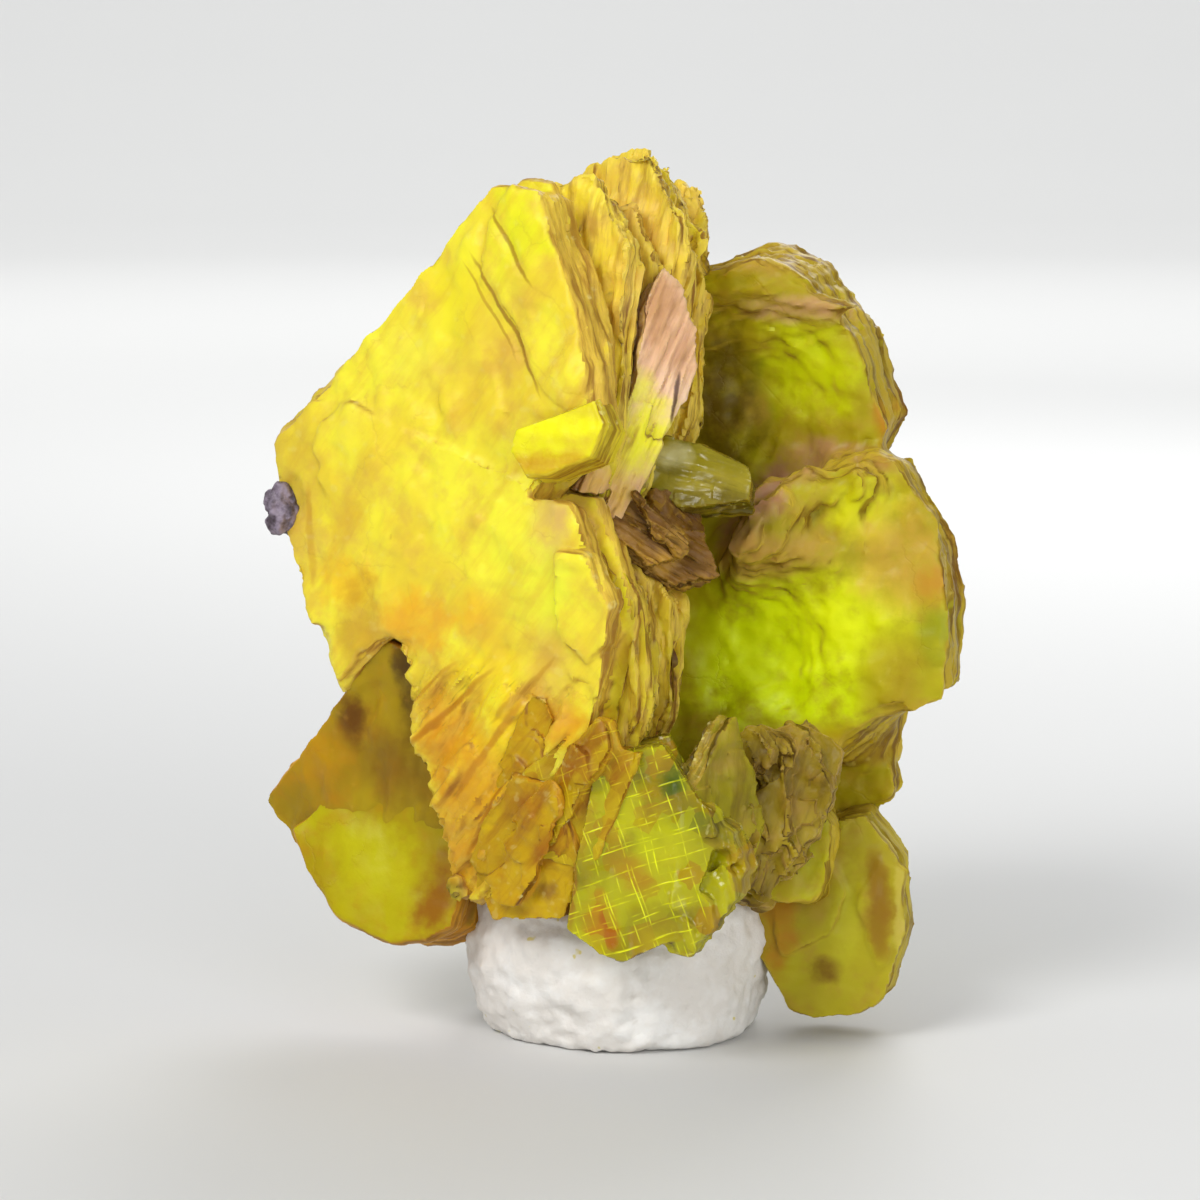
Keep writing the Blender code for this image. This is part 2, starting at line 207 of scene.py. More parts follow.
# Small leaves that only the dressed cluster has, grouped by the crystal that they grow on.
SIDE_LEAVES = (
    Tablet("side_face", (0.75, -2.05, 11.4), -20, 4, 0.7, 4, (
        (48, 1.14), (13, 0.58), (4, 0.51), (337, 0.52), (299, 0.67), (222, 0.77), (168, 0.5), (150, 0.78),
    )),
    Tablet("side_belly", (0.75, -2.06, 11.4), -20, 4, 0.5, 3, (
        (58, 0.75), (4, 0.5), (337, 0.52), (326, 0.58), (278, 1.5), (220, 1.5), (204, 1.25), (160, 0.45),
    )),
    Tablet("side_tip", (0.72, -2.12, 11.3), -18, 6, 0.35, 2, (
        (150, 0.36), (75, -0.6), (345, -0.1), (322, 0.35), (262, 2.1),
    )),
    Tablet("side_hook", (0.35, -2.42, 9.75), -14, 6, 0.26, 1, (
        (155, 0.28), (60, 0.5), (335, 0.15), (250, 0.55),
    )),
    Tablet("side_fang", (0.05, -2.55, 9.35), -12, 8, 0.22, 1, (
        (150, 0.2), (60, 0.5), (330, 0.2), (225, 0.5), (262, 0.45),
    )),
)
SPLINTERS = (
    Tablet("splinter_wide", (0.45, -2.5, 8.75), -24, 24, 0.35, 3, (
        (96, 0.28), (180, 0.6), (262, 0.45), (320, 0.55), (30, 0.6),
    ), -38),
    Tablet("splinter_long", (0.75, -2.7, 8.8), -30, 14, 0.14, 1, (
        (94, 0.1), (184, 0.6), (268, 0.1), (320, 0.42), (40, 0.42),
    ), -52),
    Tablet("splinter_thin", (0.5, -2.75, 9.0), -14, 18, 0.12, 1, (
        (96, 0.08), (184, 0.5), (266, 0.1), (320, 0.32), (40, 0.32),
    ), -62),
    Tablet("splinter_deep", (0.75, -2.2, 8.4), -18, 30, 0.5, 3, (
        (96, 0.5), (180, 0.8), (262, 0.45), (310, 0.6), (40, 0.7),
    ), -30),
    Tablet("splinter_dark", (0.1, -2.5, 9.1), -10, 20, 0.4, 2, (
        (90, 0.3), (180, 0.5), (265, 0.3), (320, 0.4), (30, 0.4),
    ), -45),
    Tablet("splinter_root", (0.95, -1.9, 8.75), -40, 10, 0.6, 2, (
        (90, 0.5), (180, 0.6), (270, 0.6), (330, 0.5), (30, 0.5),
    ), -20),
)
WINDOW_LEAVES = (
    Tablet("window_right", (1.5, -3.5, 3.4), -24, 6, 0.9, 4, (
        (169, 0.7), (240, 0.9), (303, 0.66), (344, 0.5), (30, 0.42), (110, 0.9),
    )),
)
TUFT_LEAVES = (
    Tablet("tuft_spike", (1.95, -2.9, 4.35), -12, 8, 0.3, 2, (
        (14, 0.2), (166, 0.2), (262, 0.9), (330, 0.6),
    )),
    Tablet("tuft_blade", (2.45, -2.4, 4.2), 20, 14, 0.3, 2, (
        (24, 0.3), (150, 0.35), (255, 0.7), (320, 0.6),
    ), -14),
    Tablet("tuft_ledge", (2.9, -2.1, 4.55), -6, 22, 0.35, 3, (
        (40, 0.5), (140, 0.5), (220, 0.5), (300, 0.45),
    )),
    Tablet("tuft_small", (3.2, -1.8, 4.9), 12, 16, 0.3, 2, (
        (30, 0.4), (140, 0.4), (250, 0.4), (330, 0.45),
    ), 20),
    Tablet("tuft_green", (2.3, -2.5, 3.4), -30, 4, 0.35, 3, (
        (60, 0.5), (140, 0.45), (235, 0.55), (310, 0.6), (0, 0.4),
    )),
)


def stair(first, last, count, size, roll):
    """A flight of small leaves that overlap like shingles, from one place to another."""
    chance = random.Random(count)
    steps = []
    for k in range(count):
        share = k / (count - 1)
        centre = tuple(a + (b - a) * share + chance.uniform(-0.05, 0.05) for a, b in zip(first, last))
        wide = size * chance.uniform(0.8, 1.2)
        top = 90 + chance.uniform(-12, 12)
        foot = 270 + chance.uniform(-12, 12)
        edges = ((top, 0.3), (178, wide), (225, wide * 0.8), (foot, 0.32), (325, wide * 0.8), (2, wide))
        turn = 34 + chance.uniform(-9, 9)
        lean = chance.uniform(-8, 8)
        steps.append(Tablet("stair_leaf", centre, turn, lean, 0.34, 3, edges, roll + chance.uniform(-9, 9)))
    return tuple(steps)


RIDGE_LEAVES = (
    *stair((1.95, -1.2, 8.25), (2.95, -0.95, 9.3), 7, 0.5, 50),
    *stair((3.0, -1.05, 9.2), (3.9, -1.15, 9.35), 4, 0.45, 10),
    Tablet("shoulder", (4.35, -0.9, 9.3), 16, 6, 1.2, 4, (
        (100, 0.65), (62, 0.48), (40, 0.46), (22, 0.5), (350, 0.6), (270, 1.0), (180, 1.1),
    )),
    Tablet("apron", (2.6, -0.75, 7.6), 20, -16, 1.0, 3, (
        (90, 0.75), (150, 0.95), (205, 1.0), (265, 0.7), (315, 1.0), (0, 1.3), (50, 1.0),
    )),
)
STEP_HIGH_LEAVES = stair((-0.55, -3.55, 5.3), (-1.1, -3.4, 4.4), 4, 0.75, 50)
STEP_LOW_LEAVES = (
    *stair((-1.3, -3.35, 4.3), (-1.75, -3.0, 3.2), 4, 0.65, 46),
    *stair((-1.5, -2.95, 5.4), (-2.0, -2.6, 3.6), 5, 0.6, 52),
)
WINDOW_RIM_LEAVES = (
    *stair((1.3, -3.75, 4.2), (1.75, -3.6, 3.6), 4, 0.34, 52),
    *stair((1.7, -3.65, 3.3), (0.95, -3.8, 2.3), 6, 0.32, 40),
)
TUFT_TIPS = (
    *stair((1.9, -2.25, 4.95), (3.0, -1.85, 4.95), 6, 0.42, 70),
    *stair((1.9, -2.6, 3.9), (2.7, -2.3, 3.3), 5, 0.42, 60),
)


def pose_of(centre, turn, lean, roll=0.0):
    """Turns a tablet's own right, up and out axes into the frame, and moves its centre there."""
    turned = Matrix.Rotation(math.radians(-turn), 4, "Z")
    leaned = Matrix.Rotation(math.radians(90 - lean), 4, "X")
    rolled = Matrix.Rotation(math.radians(roll), 4, "Z")
    return Matrix.Translation(Vector(centre)) @ turned @ leaned @ rolled


def facing(tablet):
    return pose_of(tablet.centre, tablet.turn, tablet.lean, tablet.roll)


# Each book's own axes: right, up, and out of its face.
COVER_HOME = facing(TABLETS["cover_high"])
FAN_HOME = pose_of((-1.7, -0.15, 10.5), 40, 12)
SPINE_HOME = facing(TABLETS["spine_low"])
RIGHT_HOME = pose_of((3.0, -0.75, 8.4), 18, 4)


def nothing_selected():
    if bpy.context.mode != "OBJECT":
        bpy.ops.object.mode_set(mode="OBJECT")
    bpy.ops.object.select_all(action="DESELECT")


def only(piece):
    nothing_selected()
    piece.select_set(True)
    bpy.context.view_layer.objects.active = piece


def edit(piece):
    only(piece)
    bpy.ops.object.mode_set(mode="EDIT")


def close():
    bpy.ops.object.mode_set(mode="OBJECT")


def select_mesh():
    bpy.ops.mesh.select_all(action="SELECT")


def blank_mesh(name):
    """A mesh with nothing in it yet, open for modelling in millimetres."""
    nothing_selected()
    bpy.ops.mesh.primitive_plane_add(size=1, location=(0, 0, 0))
    piece = bpy.context.object
    piece.name = name
    piece.data.name = name
    bpy.ops.object.mode_set(mode="EDIT")
    select_mesh()
    bpy.ops.mesh.delete(type="VERT")
    return piece


def leaf(edges, front, back, tilt=0.0):
    """One leaf: a block, bisected at each straight edge of its outline."""
    bpy.ops.mesh.primitive_cube_add(
        size=1, location=(0, 0, (front + back) / 2), scale=(BLANK_SIDE, BLANK_SIDE, front - back)
    )
    for degrees, distance in edges:
        angle = math.radians(degrees)
        out = Vector((math.cos(angle), math.sin(angle), tilt))
        cut = (distance * out.x, distance * out.y, front)
        select_mesh()
        bpy.ops.mesh.bisect(plane_co=cut, plane_no=out, use_fill=True, clear_outer=True)
    select_mesh()
    bpy.ops.mesh.hide(unselected=False)


def ragged(edges, chance, size, wobble=0.03, swing=3.0):
    """The same outline for another leaf: a little smaller, with each edge moved and turned a little."""
    return [
        (degrees + chance.uniform(-swing, swing), distance * (size - chance.uniform(0, wobble)))
        for degrees, distance in edges
    ]


def book(tablet, home, fine=2, deepest=0.10, wobble=0.035, swing=3.0, rim=0.0, extra=()):
    """A tablet as a stack of leaves, in the axes of the book that it belongs to.

    The first leaves are smaller by rim, so that their ends show as low steps along the outline. Each extra
    is one more leaf on the face: its edges, its front and its back.
    """
    chance = random.Random("leaves of " + tablet.name)
    piece = blank_mesh(tablet.name)
    count = tablet.leaves * fine
    pitch = tablet.thick / count
    front = 0.0
    for k in range(count):
        back = -tablet.thick if k == count - 1 else -pitch * (k + 1 + chance.uniform(-0.3, 0.3))
        size = 1 - max(0, RIM_LEAVES - k) * rim
        if k >= RIM_LEAVES:
            size -= chance.choice((0.0, 0.2, 0.5, 1.0)) * deepest
        edges = tablet.edges if k == 0 and not rim else ragged(tablet.edges, chance, size, wobble, swing)
        leaf(edges, front, back - 0.01, chance.uniform(-0.15, 0.25))
        front = back
    for edges, high, low in extra:
        leaf(edges, high, low, 0.3)
    bpy.ops.mesh.reveal()
    close()
    piece.matrix_world = home.inverted() @ facing(tablet)
    only(piece)
    bpy.ops.object.transform_apply(location=True, rotation=True, scale=True)
    return piece


def joined(name, pieces):
    only(pieces[0])
    for piece in pieces[1:]:
        piece.select_set(True)
    if len(pieces) > 1:
        bpy.ops.object.join()
    pieces[0].name = name
    pieces[0].data.name = name
    return pieces[0]


def apply_modifier(piece, kind, **settings):
    only(piece)
    modifier = piece.modifiers.new(kind.lower(), kind)
    for key, value in settings.items():
        setattr(modifier, key, value)
    bpy.ops.object.modifier_apply(modifier=modifier.name)


def volume(piece):
    shape = bmesh.new()
    shape.from_mesh(piece.data)
    size = shape.calc_volume(signed=True)
    shape.free()
    return size


def swept(piece):
    """Clears out the closed pockets between the leaves, whose volume is below zero, and loose crumbs."""
    name = piece.name
    edit(piece)
    select_mesh()
    bpy.ops.mesh.separate(type="LOOSE")
    close()
    kept = []
    for part in list(bpy.context.selected_objects):
        if volume(part) > CRUMB_VOLUME:
            kept.append(part)
        else:
            bpy.data.objects.remove(part)
    return joined(name, sorted(kept, key=volume, reverse=True))


def skin(piece, size, soften=2):
    """Makes the leaves one closed body with an even, fine mesh."""
    apply_modifier(piece, "REMESH", mode="VOXEL", voxel_size=size)
    piece = swept(piece)
    if soften:
        apply_modifier(piece, "SMOOTH", factor=0.5, iterations=soften)
    return piece


def fade(piece, low, high, margin=0.6):
    """A vertex group that is full inside a box and fades out towards the box's sides."""
    group = piece.vertex_groups.new(name="patch")
    for point in piece.data.vertices:
        inside = min(min(c - a, b - c) for a, c, b in zip(low, point.co, high))
        if inside > 0:
            group.add([point.index], min(1.0, inside / margin), "REPLACE")
    return group.name


def relief(piece, kind, strength, scale=(1, 1, 1), turn=(0, 0, 0), at=(0, 0, 0), mid=0.5, box=None, **look):
    """Moves the surface along its normals by a pattern whose size on each axis is given by scale."""
    pattern = bpy.data.textures.new("pattern", kind)
    for key, value in look.items():
        setattr(pattern, key, value)
    patch = fade(piece, *box) if box else ""
    nothing_selected()
    bpy.ops.object.empty_add(location=at, rotation=[math.radians(a) for a in turn])
    ruler = bpy.context.object
    ruler.scale = scale
    apply_modifier(
        piece, "DISPLACE", texture=pattern, texture_coords="OBJECT", texture_coords_object=ruler,
        strength=strength, mid_level=mid, vertex_group=patch,
    )
    piece.vertex_groups.clear()
    bpy.data.objects.remove(ruler)
    bpy.data.textures.remove(pattern)


def push(piece, at, size, depth):
    """Presses the surface in round a place, or raises it where depth is above zero."""
    relief(piece, "BLEND", depth, scale=size, at=at, mid=0.0, progression="SPHERICAL")


def terraces(piece, cell, height, deep=8.0, shift=0.0, turn=(0, 0, 0)):
    """Raises straight-edged patches to different heights, as where thin leaves have split off."""
    relief(
        piece, "VORONOI", height, scale=(1, 1, deep), at=(shift, shift * 0.7, 0), turn=turn,
        noise_scale=cell, distance_metric="CHEBYCHEV", color_mode="POSITION", mid=0.55,
    )


def swell(piece, size, height, scale=(1, 1, 1), mid=0.5, shift=0.0):
    relief(
        piece, "CLOUDS", height, scale=scale, at=(shift, shift * 1.3, shift * 0.4),
        noise_scale=size, noise_depth=2, mid=mid,
    )


def flutes(piece, angle, gap, height, shift=0.0, box=None):
    """Furrows a face along a direction, as where the ends of many thin leaves show."""
    relief(
        piece, "CLOUDS", height, scale=(gap * 9, gap, gap * 3), turn=(0, 0, angle), at=(shift, shift, 0),
        noise_scale=1.0, noise_depth=2, box=box,
    )


def groove(piece, start, end, width, depth):
    """A soft, straight valley in a book's face."""
    a, b = Vector(start), Vector(end)
    run = b - a
    relief(
        piece, "BLEND", -depth, scale=(run.length / 2, width, 2.0), at=(a + b) / 2,
        turn=(0, 0, math.degrees(math.atan2(run.y, run.x))), mid=0.0, progression="SPHERICAL",
    )


def blend(piece, low, high, rounds):
    """Softens the part of the surface that lies in a box, so that two faces run into each other."""
    edit(piece)
    bpy.ops.mesh.select_all(action="DESELECT")
    close()
    for point in piece.data.vertices:
        point.select = all(a <= c <= b for a, c, b in zip(low, point.co, high))
    bpy.ops.object.mode_set(mode="EDIT")
    bpy.ops.mesh.vertices_smooth(factor=0.5, repeat=rounds)
    close()


def place(piece, home):
    """Moves a finished piece from its book's axes into the frame, in metres."""
    piece.matrix_world = Matrix.Scale(MM, 4) @ home
    only(piece)
    bpy.ops.object.transform_apply(location=True, rotation=True, scale=True)
    bpy.ops.object.shade_smooth_by_angle(angle=math.radians(SHARP_EDGE))
    piece.data.materials.clear()


def tone(code):
    """A colour as the screen shows it, such as F5F020, made linear."""
    parts = [int(code[k:k + 2], 16) / 255 for k in (0, 2, 4)]
    return (*[p / 12.92 if p <= 0.04045 else ((p + 0.055) / 1.055) ** 2.4 for p in parts], 1.0)


class Wire:
    """An output of a shader node that takes part in sums."""

    def __init__(self, finish, socket):
        self.finish = finish
        self.socket = socket

    def sum_with(self, operation, first, second):
        return self.finish.node("Math", {"operation": operation}, (first, second))

    def __add__(self, other):
        return self.sum_with("ADD", self, other)

    __radd__ = __add__

    def __sub__(self, other):
        return self.sum_with("SUBTRACT", self, other)

    def __rsub__(self, other):
        return self.sum_with("SUBTRACT", other, self)

    def __mul__(self, other):
        return self.sum_with("MULTIPLY", self, other)

    __rmul__ = __mul__

    def __truediv__(self, other):
        return self.sum_with("DIVIDE", self, other)

    def __abs__(self):
        return self.sum_with("ABSOLUTE", self, 0.0)

    def most(self, other):
        return self.sum_with("MAXIMUM", self, other)

    def ramp(self, low, high):
        """0 below low and 1 above high, smooth between."""
        values = {0: self, 1: low, 2: high, 3: 0.0, 4: 1.0}
        return self.finish.node("MapRange", {"interpolation_type": "SMOOTHSTEP"}, values)


class Finish:
    """A material and the nodes that make it."""

    def __init__(self, name, home=None):
        self.material = bpy.data.materials.new(name)
        self.material.use_nodes = True
        self.tree = self.material.node_tree
        self.shader = self.tree.nodes["Principled BSDF"]
        where = self.node("TexCoord", {}, (), "Object")
        pose = home or Matrix.Identity(4)
        self.point = self.node(
            "Mapping", {"vector_type": "TEXTURE"},
            {0: where, 1: pose.translation * MM, 2: pose.to_euler(), 3: (MM, MM, MM)},
        )
        self.normal = self.node("NewGeometry", {}, (), "Normal")
        self.bend = self.node("NewGeometry", {}, (), "Pointiness")
        self.out = self.dot(self.normal, pose.to_3x3() @ Vector((0, 0, 1)))

    def node(self, kind, settings=None, values=(), output=0):
        made = self.tree.nodes.new("ShaderNode" + kind)
        for key, value in (settings or {}).items():
            setattr(made, key, value)
        pairs = values.items() if isinstance(values, dict) else enumerate(values)
        for key, value in pairs:
            if isinstance(value, Wire):
                self.tree.links.new(value.socket, made.inputs[key])
            else:
                made.inputs[key].default_value = value
        return Wire(self, made.outputs[output])

    def dot(self, wire, axis):
        return self.node("VectorMath", {"operation": "DOT_PRODUCT"}, (wire, axis), "Value")

    def stretched(self, scale, shift=(0, 0, 0)):
        return self.node("Mapping", {}, {0: self.point, 1: shift, 3: scale})

    def noise(self, size, detail=3.0, rough=0.5, scale=(1, 1, 1), shift=(0, 0, 0)):
        return self.node(
            "TexNoise", {},
            {"Vector": self.stretched(scale, shift), "Scale": 1 / size, "Detail": detail, "Roughness": rough},
        )

    def mix(self, factor, first, second):
        """Two colours, each given by its code or by a wire."""
        pair = [tone(colour) if isinstance(colour, str) else colour for colour in (first, second)]
        return self.node("Mix", {"data_type": "RGBA"}, {0: factor, 6: pair[0], 7: pair[1]}, 2)

    def axis(self, k):
        return self.node("SeparateXYZ", {}, (self.point,), k)

    def spot(self, across, up, wide, high, warp):
        """1 in the middle of an oval on the book's face, fading out with an uneven edge."""
        x = (self.axis(0) - across) / wide
        y = (self.axis(1) - up) / high
        away = x * x + y * y + (warp - 0.5) * 3.2
        return 1 - away.ramp(-0.3, 1.6)

    def streak(self, start, end, wide, warp):
        """1 along a line on the face, fading out to both sides and towards its ends."""
        a, b = Vector((*start, 0)), Vector((*end, 0))
        run = (b - a).normalized()
        middle = (a + b) / 2
        along = (self.dot(self.point, run) - middle.dot(run)) / ((b - a).length / 2)
        side = Vector((-run.y, run.x, 0))
        across = (self.dot(self.point, side) - middle.dot(side)) / wide + (warp - 0.5) * 2.0
        return 1 - (along * along * along * along + across * across).ramp(0.05, 1.2)

    def turned(self, angle, scale):
        """The piece's axes, turned in its face, and then stretched."""
        upright = self.node("Mapping", {}, {0: self.point, 2: (0, 0, math.radians(-angle))})
        return self.node("Mapping", {}, {0: upright, 3: scale})

    def combed(self, angle, size):
        """Fine strands that run along the angle."""
        drawn = self.turned(angle, (0.14, 1, 0.6))
        return self.node(
            "TexNoise", {}, {"Vector": drawn, "Scale": 1 / size, "Detail": 5.0, "Roughness": 0.62}
        )

    def tiles(self, angle, size):
        """A different value for each of the small blocks between two sets of cleavage lines."""
        return self.node(
            "TexVoronoi", {"distance": "CHEBYCHEV", "voronoi_dimensions": "2D"},
            {"Vector": self.turned(angle, (1, 1, 1)), "Scale": 1 / size, "Randomness": 0.8}, "Color",
        )

    def splits(self, size):
        """Thin crooked lines on a face, where one leaf ends on the next."""
        warp = self.noise(0.6, 4.0, 0.6, shift=(2, 7, 5))
        bent = self.node("VectorMath", {"operation": "ADD"}, (self.point, self.spread(warp)))
        cells = self.node(
            "TexVoronoi", {"feature": "DISTANCE_TO_EDGE", "voronoi_dimensions": "2D"},
            {"Vector": bent, "Scale": 1 / size, "Randomness": 1.0},
        )
        shown = self.noise(1.3, 2.0, 0.5, shift=(6, 3, 1)).ramp(0.45, 0.6)
        return (1 - cells.ramp(0.0, 0.035)) * shown

    def spread(self, wire):
        """One value made into a shift that bends the lines of a face."""
        return self.node("CombineXYZ", {}, (wire, wire * -0.8, wire))

    def cleavage(self, angle, gap, shift):
        """Thin straight lines across the face, bright in some places and gone in others."""
        lean = math.radians(angle)
        bend = (self.noise(1.4, 1.0) - 0.5) * 0.2
        across = self.dot(self.point, (math.cos(lean), math.sin(lean), 0)) + bend
        wave = self.node("Math", {"operation": "PINGPONG"}, (across / gap + shift, 0.5))
        broken = self.noise(0.4, 2.0, 0.6, shift=(shift * 9, angle, 2)).ramp(0.42, 0.66)
        return (1 - wave.ramp(0.0, 0.018 / gap)) * broken

    def wear(self, height, depth, strength=0.5):
        """Fine relief, as deep as depth in millimetres."""
        values = {"Strength": strength, "Distance": depth * MM, "Height": height}
        self.set("Normal", self.node("Bump", {}, values))

    def soak(self, weight, reach, size):
        """Lets light sink in, by size in millimetres, more in some colours than in others."""
        self.set("Subsurface Weight", weight)
        self.set("Subsurface Radius", reach)
        self.set("Subsurface Scale", size * MM)

    def set(self, name, value):
        socket = self.shader.inputs[name]
        if isinstance(value, Wire):
            self.tree.links.new(value.socket, socket)
        else:
            socket.default_value = value


def crystal(
    name, home, low, high, tan, edge_light, edge_dark, crease_shade_colour="5A3A08", pale="F4EC9A", spots=(), streaks=(),
    tan_share=0.52, strata=0.16, rough=0.42, coat=0.0, glow=0.25, ridge_highlight=0.5, crease_shade=0.75, grid=None,
    tiles=0.0, combed=None,
):
    """Uranocircite: satin faces in two yellows with tan veins, and edges lined by the leaves. Its ridges get
    a painted highlight and its creases painted shade.

    The cleavage grid is an angle, a colour, a strength and how far right it reaches. Combed strands are an
    angle, a size, a colour and a strength.
    """
    f = Finish(name, home)
    broad = f.noise(1.9, 3.0, 0.55)
    mottle = f.noise(0.7, 5.0, 0.62, shift=(3, 1, 7))
    fine = f.noise(0.09, 3.0, 0.6)
    lines = f.noise(1.0, 4.0, 0.65, scale=(0.7, 0.7, 1 / strata))
    splits = f.splits(0.95)
    colour = f.mix(broad.ramp(0.35, 0.65), low, high)
    colour = f.mix(mottle.ramp(tan_share - 0.08, tan_share + 0.22) * 0.55, colour, tan)
    warp = f.noise(0.5, 4.0, 0.6, shift=(9, 2, 4))
    for across, up, wide, high_mm, code, strength in spots:
        colour = f.mix(f.spot(across, up, wide, high_mm, warp) * strength, colour, code)
    for start, end, wide, code, strength in streaks:
        colour = f.mix(f.streak(start, end, wide, warp) * strength, colour, code)
    bump = fine * 0.25 + mottle * 0.5
    if combed:
        angle, size, code, strength = combed
        strands = f.combed(angle, size)
        colour = f.mix(strands.ramp(0.45, 0.68) * strength, colour, code)
        bump = bump + strands * 1.4
    colour = f.mix(splits * 0.1, colour, edge_dark)
    side = 1 - abs(f.out).ramp(0.5, 0.93)
    edge = f.mix(lines.ramp(0.36, 0.6), edge_dark, edge_light)
    colour = f.mix(side * 0.85, colour, edge)
    bump = bump + lines * side * 1.3 - splits * 0.2
    if grid:
        angle, code, strength, reach = grid
        patch = f.tiles(angle, 0.38)
        colour = f.mix(patch.ramp(0.55, 0.9) * tiles, colour, high)
        colour = f.mix((1 - patch.ramp(0.1, 0.4)) * tiles, colour, tan)
        veil = f.cleavage(angle, 0.47, 0.0).most(f.cleavage(angle, 0.29, 0.4) * 0.7)
        veil = veil.most(f.cleavage(angle - 90, 0.39, 0.2)).most(f.cleavage(angle - 90, 0.23, 0.6) * 0.6)
        veil = veil * (1 - f.axis(0).ramp(reach - 0.2, reach))
        colour = f.mix(veil * strength, colour, code)
        bump = bump + veil * 0.4
    # Painted light from the mesh's pointiness: convex ridges are lightened with the pale colour as a painted
    # highlight, and concave creases are darkened with the crease colour as painted shade.
    ridge_highlight_mask = f.bend.ramp(0.58, 0.7) * (side * 0.7 + 0.3)
    crease_shade_mask = 1 - f.bend.ramp(0.36, 0.47)
    colour = f.mix(ridge_highlight_mask * ridge_highlight, colour, pale)
    colour = f.mix(crease_shade_mask * crease_shade, colour, crease_shade_colour)
    f.set("Base Color", colour)
    f.set("Roughness", rough + (mottle - 0.5) * 0.25)
    f.wear(bump, 0.03, strength=0.55)
    f.soak(glow, (1.0, 0.8, 0.08), 0.5)
    f.set("Specular IOR Level", 0.2)
    f.set("Coat Weight", coat)
    f.set("Coat Roughness", 0.2)
    return f.material


def putty_finish():
    f = Finish("white_putty")
    grey = f.noise(0.8, 4.0, 0.6)
    fine = f.noise(0.12, 4.0, 0.65)
    fleck = f.noise(0.22, 1.0, 0.4, shift=(4, 4, 1)).ramp(0.74, 0.78)
    colour = f.mix(grey.ramp(0.4, 0.7), "E4DFD8", "F0EEEA")
    # Concave places are darkened with warm grey: painted shade.
    colour = f.mix((1 - f.bend.ramp(0.4, 0.49)) * 0.7, colour, "A89C8C")
    colour = f.mix(fleck * 0.8, colour, "D8C860")
    f.set("Base Color", colour)
    f.set("Roughness", 0.62 + (fine - 0.5) * 0.2)
    f.wear(fine, 0.04)
    f.soak(0.15, (1.0, 0.9, 0.8), 0.3)
    return f.material


def grain_finish():
    f = Finish("grey_mauve_grain")
    cloud = f.noise(0.25, 4.0, 0.6)
    f.set("Base Color", f.mix(cloud.ramp(0.35, 0.65), "3A2C34", "8E8090"))
    f.set("Roughness", 0.35 + cloud * 0.3)
    f.wear(cloud, 0.04)
    return f.material


def crystal_piece(piece, home, material):
    place(piece, home)
    piece.data.materials.append(material)
    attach(piece, "root")
    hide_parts("crystal_cluster")


# Patches of colour on a face: across, up, width and height in millimetres, colour, and strength.
COVER_PATCHES = (
    (0.9, -6.4, 1.3, 1.6, "D09410", 0.75), (0.2, -5.0, 0.5, 1.2, "C8861C", 0.7),
    (2.35, -1.65, 0.45, 0.7, "D0A068", 0.8), (1.5, 2.6, 0.25, 0.7, "C8A040", 0.5),
    (2.25, -4.7, 0.9, 0.5, "E09A08", 0.85), (1.1, -4.2, 0.8, 0.6, "F0D20A", 0.6),
    (0.5, -5.2, 0.7, 0.9, "D89818", 0.7), (1.4, -6.1, 0.8, 0.6, "D8A010", 0.7),
    (0.75, -7.1, 0.7, 0.6, "C88C18", 0.8), (-3.1, -1.9, 0.7, 0.8, "CFA848", 0.7),
    (-1.9, -2.8, 0.6, 0.5, "E8A818", 0.6), (-1.9, -1.7, 0.5, 0.4, "D8A830", 0.5),
    (-0.4, -3.3, 0.7, 0.5, "E8A020", 0.7), (0.9, -3.1, 0.5, 0.5, "ECB020", 0.6),
    (1.6, -2.1, 0.8, 1.2, "F2F23A", 0.7), (2.4, -2.7, 0.6, 0.9, "EEF038", 0.8),
    (0.6, 1.5, 0.6, 0.9, "DAB440", 0.7), (1.2, 1.0, 0.5, 0.4, "D8A848", 0.6),
    (-0.6, 1.1, 0.9, 0.7, "F0E848", 0.6), (-3.4, -0.6, 0.6, 1.5, "D0B038", 0.6),
    (-3.6, 0.4, 0.6, 1.0, "D4C038", 0.6), (2.3, -4.0, 0.5, 0.9, "D8A850", 0.6),
    (-1.6, -3.6, 0.5, 0.9, "B07A18", 0.5), (1.5, 3.2, 0.8, 0.9, "E8EC12", 0.7),
    (0.2, 1.9, 0.7, 0.9, "F0E418", 0.6), (-1.9, -0.3, 0.8, 0.6, "F4EC3A", 0.6),
    (1.5, -4.9, 0.7, 0.6, "F0D00C", 0.6),
)
